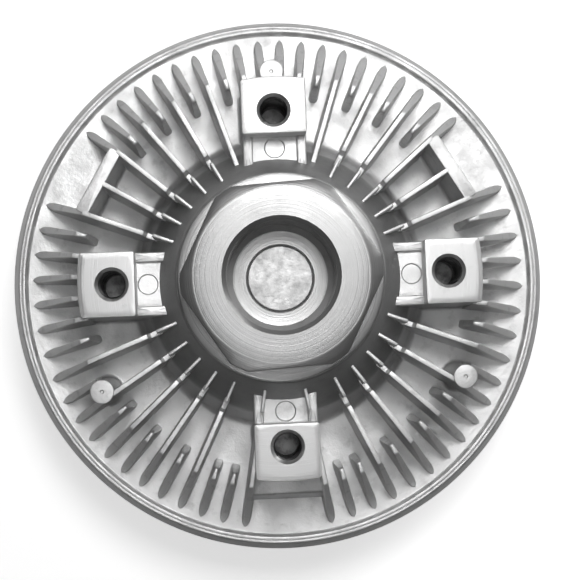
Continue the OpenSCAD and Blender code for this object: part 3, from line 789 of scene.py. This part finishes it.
def fin_row(r, top, squeeze, sizes, full=None):
    """One cross-section of a fin at a radius: flared foot, drafted sides, round top."""
    height, foot, tip, fillet, edge = sizes
    slope = (foot - tip) / 2 / height

    def half(z):
        return tip / 2 + (height - z) * slope

    f = min(fillet, 0.45 * top)
    e = min(edge if full is None else full, 0.4 * top, 0.92 * half(top))
    side = [(half(0) + f, -FIN_SUNK), (half(0) + f, 0.0)] + flare(half(f), f, (30, 60, 90))
    side += [(half(z), z) for z in np.linspace(f, top - e, 4)[1:]]
    side += crown(half(top), top, e, (35, 65, 90))
    return both_sides(r, [(y * squeeze, z) for y, z in side])


def web_row(r, low, top, half):
    """One cross-section of the thin web between a fin and the boss."""
    return both_sides(r, [(half, low), (half, top - 0.22), (half - 0.07, top - 0.07), (half - 0.22, top)])


def fin_line(kind, height):
    """Stations along a fin of a kind: radius, top, share of the width, round of the top if not usual."""
    ramp, line, blunt = TIP_R - FIN_TOP_R, [], 0.6

    def at(r, top=height, squeeze=1.0, full=None):
        line.append((r, top, squeeze, full))

    if kind == FROM_BAR:
        at(BAR_R - BAR_T + 0.4)
    else:
        at(TIP_R + 0.25, 0.05, 0.12)
        for back, squeeze in ((0.05, 0.22), (0.3, 0.4), (0.8, 0.62), (1.6, 0.82), (2.6, 0.95)):
            at(TIP_R - back, max(0.12, height * back / ramp), squeeze)
        for t in np.linspace(3.6 / ramp, 0.955, 7):
            at(TIP_R - ramp * t, height * t)
        for t, drop in ((0.985, 0.42), (1.01, 0.12), (1.05, 0.0)):
            at(TIP_R - ramp * t, height - drop)
    if kind == STUB:
        at(PAD_OUT - 1.0)
    elif kind == AT_PIN:
        line.pop()
        at(PIN_R)
    elif kind == SHORT:
        for out, drop, squeeze in ((0.9, 0.0, 1.0), (0.35, 0.05, 0.99), (0.05, 0.3, 0.96),
                                   (-0.12, 0.9, 0.92)):
            at(SHORT_R + out, height - drop, squeeze, blunt)
        for t in (0.8, 0.55, 0.3, 0.12):
            at(SHORT_R - 0.12 - 0.5 * (1 - t), height * t, 0.9, blunt)
        at(SHORT_R - 1.1, 0.15, 0.6)
    elif kind == PLAIN:
        for r in (48.0, 42.0, 36.0, 31.4):
            at(r)
    else:
        for r in (50.0, 45.0, 41.0, NOTCH_R + 0.3):
            at(r)
        for r, fall in ((NOTCH_R, 0.03), (NOTCH_R - 0.2, 0.2), (NOTCH_R - 0.5, 0.85), (NOTCH_R - 0.8, 1.0),
                        (33.5, 1.0)):
            at(r, height - fall * NOTCH_DROP)
    return line


def fin_master(kind, c):
    """One fin of a kind along +X, with the floor at height 0."""
    sizes = [size / MM for size in (c.fin_height, c.fin_foot, c.fin_top, c.fin_fillet, c.edge_round)]
    height = sizes[0]
    shell = Shell()
    shell.skin([fin_row(r, top, squeeze, sizes, full) for r, top, squeeze, full in fin_line(kind, height)])
    if kind in (LONG, FROM_BAR):
        half = c.fin_web / MM / 2
        low, high = height - NOTCH_DROP - 2.0, height + WEB_RISE
        line = [(WEB_R + 0.1, low + 1.0), (WEB_R, high - 0.5), (WEB_R - 0.15, high - 0.12),
                (WEB_R - 0.5, high), (33.0, high), (BOSS_R + 0.8, high)]
        shell.skin([web_row(r, low, top, half) for r, top in line])
    return shell.mesh(f"fin_{kind}", sharp=40.0)


def fin_places():
    """Turn and kind of every fin, both sides of the mirror line."""
    top = [STUB, STUB, SHORT, PLAIN, SHORT, LONG, SHORT, LONG, SHORT, LONG]
    side = [LONG, SHORT, STUB, STUB, STUB, STUB, SHORT, LONG]
    low = [LONG, SHORT, SHORT, LONG, SHORT, LONG, SHORT, LONG, SHORT, LONG, AT_PIN]
    half = [((i + 0.5) * STEP_TOP, kind) for i, kind in enumerate(top)]
    half += [(BAR_AT, FROM_BAR)]
    half += [(SIDE_FIRST + i * STEP_SIDE, kind) for i, kind in enumerate(side)]
    half += [(180 - LOW_START - i * STEP_LOW, kind) for i, kind in enumerate(low)]
    return [(90 + s * a, kind) for a, kind in half for s in (-1, 1)]


class FANCLUTCH_OT_cooling_fins(bpy.types.Operator):
    """Sets the cooling fins round the casting's floor."""
    bl_idname = "fan_clutch.cooling_fins"
    bl_label = "Cooling fins"

    def execute(self, context):
        masters = [fin_master(kind, context.scene.fan_clutch_casting) for kind in KINDS]
        piece = set_round("cooling_fins", masters, fin_places(), FLOOR)
        placed(piece, "housing", "cast_aluminium")
        return {"FINISHED"}


def pad_plan():
    """Outline of a fan pad along +X: three straight sides and an arc about the axis."""
    half = PAD_W / 2
    reach = math.asin(half / PAD_OUT)
    plan = [(x, y) for x, y, _ in circle(PAD_OUT, 0.0, np.linspace(-reach, reach, 9))]
    plan += [(PAD_IN, half), (PAD_IN, -half)]
    return divided(rounded(plan, 0.8), 1.3)


def pad_master(c):
    """One fan pad with its tapped hole, and the bridge to the boss with its two ribs."""
    shell = Shell()
    height, deck_height, edge = PAD - FLOOR, BRIDGE - FLOOR, 0.3
    hole, mouth, depth, pitch, turns = 3.4, 4.55, 20.0, 1.25, 11
    start = height - 0.9

    def tapped(ring, angles):
        """The countersink, the thread and the blind end of the fan bolt's hole."""
        lead, low, deep = (shell.ring(circle(r, z, angles, BOLT_R)) for r, z in (
            (hole + 0.3, height - 0.8), (hole, start - pitch * (turns + 1.1)), (hole, height - depth)))
        shell.join(ring, lead, MACHINED)
        profile = [(0.0, hole), (0.25, hole), (0.55, hole + 0.52), (0.7, hole + 0.52)]
        shell.thread(lead, low, angles, BOLT_R, profile, pitch, start, turns)
        shell.join(low, deep, BORE)
        shell.cap(deep, BORE)

    def ejector(ring, angles):
        """The shallow mark of an ejector pin."""
        low = shell.ring(circle(2.5, deck_height - 0.45, angles, MARK_R))
        shell.join(ring, low)
        shell.cap(low)

    post(shell, pad_plan(), height, c.foot_fillet / MM, edge, 0.004, (BOLT_R, mouth, MACHINED, tapped))
    deck = box_outline(29.0, PAD_IN + 1.2, 6.1, 0.3)
    post(shell, deck, deck_height, 0.4, 0.12, 0.0, (MARK_R, 2.85, CAST, ejector))
    for s in (-1, 1):
        rib = [(x, y + s * (PAD_W / 2 - 1.4)) for x, y in box_outline(28.8, PAD_IN + 1.0, 1.3, 0.3)]
        post(shell, rib, deck_height + 1.5, 1.0, 0.5, 0.012)
    return shell.mesh("fan_pad", sharp=25.0)


class FANCLUTCH_OT_fan_pads(bpy.types.Operator):
    """Sets the four fan pads with their bridges."""
    bl_idname = "fan_clutch.fan_pads"
    bl_label = "Fan pads"

    def execute(self, context):
        master = pad_master(context.scene.fan_clutch_casting)
        piece = set_round("fan_pads", [master], [(a, 0) for a in (0, 90, 180, 270)], FLOOR)
        placed(piece, "housing", "cast_aluminium")
        return {"FINISHED"}


def pin_master(c):
    """One locating pin at its radius, with a round top edge, a small dimple and a filleted foot."""
    r, h, f, e, draft = c.pin_diameter / MM / 2, c.pin_height / MM, c.foot_fillet / MM, 0.3, 0.35
    foot = r + draft
    section = [(foot + f, -FIN_SUNK), (foot + f, 0.0)] + flare(foot, f, (30, 60, 90))
    section += [(r + draft / 2, h / 2)] + arc(r - e, h - e, e, 0, 90, 4) + [(0.6, h), (0.3, h - 0.2)]
    shell = Shell()
    shell.skin([circle(radius, z, round_angles(PIN_STEPS), PIN_R) for radius, z in section])
    return shell.mesh("locating_pin")


def bar_master(c):
    """One cross bar between three fins."""
    half = (BAR_R - BAR_T / 2) * math.tan(math.radians(SIDE_FIRST - TOP_LAST) / 2)
    shell = Shell()
    plan = box_outline(BAR_R - BAR_T, BAR_R, half, 0.7)
    post(shell, plan, c.fin_height / MM - 0.02, c.foot_fillet / MM, c.edge_round / MM, 0.004)
    return shell.mesh("cross_bar")


def ledge_master():
    """The low ledge outside the lower pad, with its ends rounded off."""
    start, out, top = PAD_OUT - 1, PAD_OUT + 5.0, 10.0
    half = out * math.tan(math.radians(LOW_START))
    side = rounded([(start, -POST_SUNK), (out + 3, -POST_SUNK), (out + 2, 0.0), (out, top),
                    (start, top)], 0.9, 4)
    ends = [(half, 0.35), (half - 0.12, 0.12), (half - 0.35, 0.0)]
    shell = Shell()
    shell.skin([[(x - shrink * (x > out - 1.5), y, z - shrink * (z > top / 2)) for x, z in side]
                for y, shrink in [(-y, s) for y, s in ends] + [(0.0, 0.0)] + ends[::-1]])
    return shell.mesh("lower_ledge")


class FANCLUTCH_OT_bars_and_pins(bpy.types.Operator):
    """Sets the cross bars, the locating pins and the lower ledge."""
    bl_idname = "fan_clutch.bars_and_pins"
    bl_label = "Bars and pins"

    def execute(self, context):
        c = context.scene.fan_clutch_casting
        masters = [bar_master(c), pin_master(c), ledge_master()]
        places = [(90 - BAR_AT, 0), (90 + BAR_AT, 0), (90, 1), (210, 1), (330, 1), (270, 2)]
        piece = set_round("bars_and_pins", masters, places, FLOOR)
        placed(piece, "housing", "cast_aluminium")
        return {"FINISHED"}


class FANCLUTCH_OT_hub_nut(bpy.types.Operator):
    """Builds the hub nut: hex milled on a bar, chamfered face, threaded bore."""
    bl_idname = "fan_clutch.hub_nut"
    bl_label = "Hub nut"

    def execute(self, context):
        s = context.scene.fan_clutch_nut
        flat, bar, face, collar, minor, major = (
            size / MM / 2 for size in (s.across_flats, s.bar, s.face, s.collar, s.minor, s.major))
        pitch, turns, start = s.pitch / MM, 8, NUT_TOP - 1.15
        hex_turn, chamfer = 33.1, math.tan(math.radians(15))
        edge = math.degrees(math.acos(flat / bar))
        sector = [*np.linspace(-edge, edge, 19), edge + 0.6, *np.linspace(edge + 2, 58 - edge, 4),
                  59.4 - edge]
        angles = [math.radians(hex_turn + 60 * k + a) for k in range(6) for a in sector]

        def hexed(a):
            """Radius of the hex, cut down to the bar, at an angle."""
            off = (math.degrees(a) - hex_turn + 30) % 60 - 30
            return min(bar, flat / math.cos(math.radians(off)))

        def hex_row(level, cut=0.0):
            """A row of the hex; level gives the height at a radius."""
            return [circle(hexed(a) - cut, level(hexed(a) - cut), [a])[0] for a in angles]

        def under_chamfer(drop):
            return lambda r: NUT_TOP - (r - face) * chamfer - drop

        shell = Shell()
        rows = lathe_rows([(8.9, 50.0), (13.4, 50.0), (13.7, 50.3), (13.7, 52.4), (20.6, 52.4), (21.0, 52.8),
                           (21.0, 65.6), (21.4, 66.0), (collar - 0.35, 66.0), (collar - 0.1, 66.1),
                           (collar, 66.35), (collar, 67.6), (collar - 0.1, 67.9),
                           (collar - 0.35, 68.0)], angles)
        rows += [hex_row(lambda r: 68.0), hex_row(lambda r: 68.3), hex_row(under_chamfer(0.25)),
                 hex_row(under_chamfer(0.05), 0.1), hex_row(under_chamfer(0.0), 0.25)]
        rows += lathe_rows([(face + 0.1, NUT_TOP - 0.027), (face - 0.05, NUT_TOP), (19.0, NUT_TOP),
                            (major + 0.35, NUT_TOP), (major + 0.15, NUT_TOP - 0.1),
                            (minor, NUT_TOP - 1.0)], angles)
        rings = shell.wall(rows)
        tail = [shell.ring(row) for row in lathe_rows(
            [(minor, start - pitch * (turns + 1.05)), (minor, 60.4), (12.6, 59.05), (12.4, 59.0), (9.2, 59.0),
             (8.9, 58.7)], angles)]
        profile = [(0.0, minor), (0.24, minor), (0.54, major - 0.06), (0.62, major), (0.68, major - 0.06)]
        shell.thread(rings[-1], tail[0], angles, 0.0, profile, pitch, start, turns)
        for i, (high, deep) in enumerate(zip(tail, tail[1:] + rings[:1])):
            shell.join(high, deep, BORE if i < 2 else CAST)
        mesh = shell.mesh("hub_nut_milled", sharp=22.0)
        mesh.polygons.foreach_set("material_index", [int(mark == BORE) for mark in shell.marks])
        piece = shown("hub_nut_milled", mesh, turned_steel(), threaded_steel())
        placed(piece, "hub", "hub_steel", "hub_nut")
        return {"FINISHED"}


def cover_section():
    """Section of the front cover between the valve bore, the flange and the reservoir."""
    bore, land, well = 3.05, 16.0, 13.0
    section = [(bore, FRONT_FACE), (66.2, FRONT_FACE), (66.2, 13.0), (69.2, 13.0), (69.2, 17.0),
               (65.5, 17.0), (64.6, land)]
    for high in (63.5, 59.5, 55.5, 51.5, 47.5):
        section += [(high, land), (high, 19.5), (high - 1.5, 19.5), (high - 1.5, land)]
    return section + [(43.0, land), (43.0, 19.2), (40.65, 19.2), (40.65, 18.0), (38.0, 18.0), (38.0, well),
                      (7.5, well), (7.0, 16.2), (bore, 16.2)]


def cover_fin_master(start, s):
    """One fin of the cover, pointing down from the cover's face at height 0."""
    height = FRONT_FACE
    sizes = (height, s.fin_root / MM, s.fin_tip / MM, 1.0, 0.45)
    line = [(start - 0.6, 0.1, 0.6), (start, 0.9, 0.9)]
    line += [(start + 2.5 * t, 0.9 + (height - 0.9) * t, 1.0) for t in (0.25, 0.5, 0.75, 0.94)]
    line += [(r, height - drop, 1.0) for r, drop in (
        (start + 2.75, 0.05), (start + 3.2, 0.0), (47.0, 0.0), (55.0, 0.0), (61.4, 0.0), (62.0, 0.1),
        (62.6, 0.55), (63.6, 1.8))]
    line += [(64.7, 5.0, 0.98), (64.95, 4.2, 0.95), (65.0, 2.0, 0.9)]
    shell = Shell()
    rows = [fin_row(r, top, squeeze, sizes) for r, top, squeeze in line]
    shell.skin([[(x, -y, -z) for x, y, z in row] for row in rows])
    return shell.mesh("cover_fin", sharp=40.0)


class FANCLUTCH_OT_front_cover(bpy.types.Operator):
    """Turns the front cover and sets its fins."""
    bl_idname = "fan_clutch.front_cover"
    bl_label = "Front cover"

    def execute(self, context):
        s = context.scene.fan_clutch_cover
        shell = Shell()
        section = rounded(cover_section(), 0.35, 2)
        shell.skin(lathe_rows(section, round_angles(COVER_STEPS)), closed=True)
        piece = shown("cover_shell", shell.mesh("cover_shell"), cast_alloy())
        placed(piece, "housing", "cover_aluminium", "front_cover")
        masters = [cover_fin_master(start, s) for start in COVER_FIN_STARTS]
        places = [((i + off) * COVER_FIN_STEP, kind)
                  for kind, off in enumerate((0.5, 1)) for i in range(COVER_FINS)]
        fins = set_round("cover_fins", masters, places, FRONT_FACE)
        placed(fins, "housing", "cover_aluminium")
        return {"FINISHED"}


def coil_path():
    """Middle line of the bimetal strip in plan: inner tang, spiral, outer tang."""
    start, rise = 4.4, 2.4
    inner = [(-2.5, -0.5), (-0.8, -0.5), (1.0, -0.5), (2.6, -0.5), (3.5, -0.46), (4.1, -0.2)]
    spiral = [circle(start + rise * a / TURN, 0.0, [a])[0][:2]
              for a in np.radians(np.arange(8.0, 1886.1, 6.0))]
    outer = [(-0.28, 17.12), (-0.46, 17.5), (-0.5, 18.1), (-0.5, 19.5), (-0.5, 20.8), (-0.5, 22.0)]
    return inner, spiral[:-2], outer


class FANCLUTCH_OT_bimetal_coil(bpy.types.Operator):
    """Winds the bimetal strip between the valve shaft and its bracket."""
    bl_idname = "fan_clutch.bimetal_coil"
    bl_label = "Bimetal coil"

    def execute(self, context):
        s = context.scene.fan_clutch_cover
        half, width = s.strip_thickness / MM / 2, s.strip_width / MM
        inner, spiral, outer = coil_path()
        path = np.array(inner + spiral + outer)
        along = np.gradient(path, axis=0)
        along /= np.linalg.norm(along, axis=1, keepdims=True)
        side = np.stack([-along[:, 1], along[:, 0]], 1)
        low, high, edge = 1.4, 1.4 + width, 0.22
        section = rounded([(-half, low), (half, low), (half, high), (-half, high)], edge, 3)
        shell = Shell()
        shell.skin([[(p[0] + n[0] * o, p[1] + n[1] * o, z) for o, z in section]
                    for p, n in zip(path, side)])
        coil = shown("bimetal_strip", shell.mesh("bimetal_strip", sharp=40.0),
                     plain_metal("bimetal_straw", colours().straw, 0.36))
        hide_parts("bimetal_coil")
        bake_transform(coil)
        return {"FINISHED"}


class FANCLUTCH_OT_inner_finishes(bpy.types.Operator):
    """Gives the bearing, rotor, valve and small fittings their metals and rubbers."""
    bl_idname = "fan_clutch.inner_finishes"
    bl_label = "Inner finishes"

    def execute(self, context):
        c = colours()
        for material, names in (
                (mottled_steel(), ["drive_shaft"]),
                (plain_metal("ground_steel", (0.62, 0.62, 0.63), 0.22, 3600.0),
                 ["bearing_outer_race", "bearing_inner_race"]),
                (plain_metal("polished_steel", (0.76, 0.76, 0.77), 0.12), ["bearing_balls"]),
                (plain_metal("rolled_brass", c.brass, 0.34), ["bearing_cage", "valve_arm"]),
                (plain_metal("turned_rotor", (0.70, 0.70, 0.71), 0.34, 2400.0), ["rotor"]),
                (plain_metal("plated_sheet", c.plated, 0.38), ["pump_plate", "bimetal_bracket"]),
                (plain_metal("headed_steel", (0.42, 0.42, 0.42), 0.4),
                 ["pump_plate_rivets", "bimetal_bracket_rivets"]),
                (plain_metal("blued_spring", c.blued, 0.36),
                 ["bearing_snap_ring", "rotor_retaining_ring", "valve_shaft_clip"]),
                (turned_steel(), ["valve_shaft"]),
                (moulded_rubber(),
                 ["cover_seal_ring", "bearing_rear_seal", "bearing_front_seal", "valve_shaft_seal"])):
            for name in names:
                for slot in frame["nodes"][name].material_slots:
                    slot.material = material
        return {"FINISHED"}


# ---------------------------------------------------------------- stage

def soft_light(name, place, aim, size, power):
    """A soft light, wide and long, that looks at a point, in metres and watts."""
    lamp = bpy.data.lights.new(name, "AREA")
    lamp.shape, lamp.energy = "RECTANGLE", power
    lamp.size, lamp.size_y = size
    made = bpy.data.objects.new(name, lamp)
    made.location = place
    made.rotation_euler = (Vector(aim) - Vector(place)).to_track_quat("-Z", "Y").to_euler()
    bpy.context.scene.collection.objects.link(made)
    return made


def studio_floor():
    """The pale floor's mesh and finish; it is clear from below and isn't mirrored in the part."""
    shell, wide, drop = Shell(), 3000.0, 0.05
    shell.face(shell.ring([(x * wide, y * wide, -drop) for x, y in ((-1, -1), (1, -1), (1, 1), (-1, 1))]))
    ground = bpy.data.materials.new("studio_floor")
    ground.use_nodes = True
    tree = ground.node_tree
    shader, either = tree.nodes["Principled BSDF"], tree.nodes.new("ShaderNodeMixShader")
    for label, value in (("Base Color", (*colours().floor, 1.0)), ("Roughness", 0.9),
                         ("Emission Color", (1, 1, 1, 1)), ("Emission Strength", 0.58)):
        shader.inputs[label].default_value = value
    below = tree.nodes.new("ShaderNodeNewGeometry").outputs["Backfacing"]
    clear = tree.nodes.new("ShaderNodeBsdfTransparent").outputs[0]
    for socket, value in zip(either.inputs, (below, shader.outputs[0], clear)):
        tree.links.new(value, socket)
    tree.links.new(either.outputs[0], tree.nodes["Material Output"].inputs[0])
    floor = shown("studio_floor", shell.mesh("studio_floor"), ground)
    floor.visible_glossy = False
    return floor


def surround():
    """White to the camera; to the part a glow near the horizon, stronger towards +Y."""
    world = bpy.data.worlds.new("studio")
    world.use_nodes = True
    tree = world.node_tree
    way = tree.nodes.new("ShaderNodeSeparateXYZ")
    tree.links.new(tree.nodes.new("ShaderNodeTexCoord").outputs["Generated"], way.inputs[0])
    horizon, zenith, behind, ahead = 0.34, 0.02, 0.34, 1.9
    glow = math_node(tree, "MULTIPLY", ranged(tree, way.outputs["Z"], horizon, zenith, 0.05, 0.4),
                     ranged(tree, way.outputs["Y"], behind, ahead, -0.8, 0.8))
    seen = tree.nodes.new("ShaderNodeLightPath").outputs["Is Camera Ray"]
    sky = tree.nodes["Background"]
    sky.inputs[0].default_value = (1, 1, 1, 1)
    tree.links.new(math_node(tree, "MAXIMUM", glow, seen), sky.inputs[1])
    return world


def photo_camera():
    """The camera at the photograph's angle and distance."""
    eye = bpy.data.cameras.new("photo_camera")
    eye.sensor_fit, eye.sensor_height, eye.lens = "VERTICAL", 36.0, 93.25
    eye.clip_start = 0.01
    camera = bpy.data.objects.new("photo_camera", eye)
    look, up = Vector((0.02268, 0.04424, -0.99876)), Vector((0.04111, 0.99813, 0.04515))
    place = (-8.88 * MM, -20.79 * MM, 457.9 * MM)
    camera.matrix_world = Matrix((*zip(up.cross(-look), up, -look, place), (0, 0, 0, 1)))
    return camera


class FANCLUTCH_OT_stage(bpy.types.Operator):
    """Sets the pale floor, the soft lights, the surround and the camera."""
    bl_idname = "fan_clutch.stage"
    bl_label = "Stage"

    def execute(self, context):
        scene = context.scene
        floor = studio_floor()
        middle = (0.0, 0.0, 0.05)
        soft_light("key", (0.04, 0.18, 0.56), middle, (0.18, 0.18), 1.55)
        soft_light("front", (0.0, -0.05, 0.66), middle, (0.05, 0.32), 0.33)
        soft_light("side", (0.40, 0.30, 0.34), middle, (0.22, 0.22), 0.8)
        glint = soft_light("glint", (-0.08, -0.29, 0.52), middle, (0.16, 0.07), 0.25)
        glint.visible_diffuse = False
        scene.world = surround()
        scene.view_settings.view_transform = "Standard"
        scene.camera = photo_camera()
        scene.collection.objects.link(scene.camera)
        return {"FINISHED"}


class FANCLUTCH_PT_build(bpy.types.Panel):
    """Lists the pieces of the fan clutch."""
    bl_idname = "FANCLUTCH_PT_build"
    bl_label = "Fan Clutch"
    bl_space_type = "VIEW_3D"
    bl_region_type = "UI"
    bl_category = "Fan Clutch"

    def draw(self, context):
        for step in STEPS:
            self.layout.operator(step.bl_idname)
        for name in GROUP_PROPERTIES:
            box = self.layout.box()
            group = getattr(context.scene, name)
            for key in group.bl_rna.properties.keys():
                if key not in ("rna_type", "name"):
                    box.prop(group, key)


STEPS = (
    FANCLUTCH_OT_casting_shell, FANCLUTCH_OT_cooling_fins, FANCLUTCH_OT_fan_pads,
    FANCLUTCH_OT_bars_and_pins, FANCLUTCH_OT_hub_nut, FANCLUTCH_OT_front_cover,
    FANCLUTCH_OT_bimetal_coil, FANCLUTCH_OT_inner_finishes, FANCLUTCH_OT_stage,
)
GROUP_PROPERTIES = {
    "fan_clutch_casting": CastingSizes, "fan_clutch_nut": NutSizes,
    "fan_clutch_cover": CoverSizes, "fan_clutch_finish": FinishColours,
}


def register():
    for made in (*GROUP_PROPERTIES.values(), *STEPS, FANCLUTCH_PT_build):
        bpy.utils.register_class(made)
    for name, group in GROUP_PROPERTIES.items():
        setattr(bpy.types.Scene, name, bpy.props.PointerProperty(type=group))


def unregister():
    for name in GROUP_PROPERTIES:
        delattr(bpy.types.Scene, name)
    for made in reversed((*GROUP_PROPERTIES.values(), *STEPS, FANCLUTCH_PT_build)):
        bpy.utils.unregister_class(made)


def main():
    register()
    bpy.ops.fan_clutch.casting_shell()
    bpy.ops.fan_clutch.cooling_fins()
    bpy.ops.fan_clutch.fan_pads()
    bpy.ops.fan_clutch.bars_and_pins()
    bpy.ops.fan_clutch.hub_nut()
    bpy.ops.fan_clutch.front_cover()
    bpy.ops.fan_clutch.bimetal_coil()
    bpy.ops.fan_clutch.inner_finishes()
    bpy.ops.fan_clutch.stage()
    bpy.context.view_layer.update()


if __name__ == "__main__":
    main()
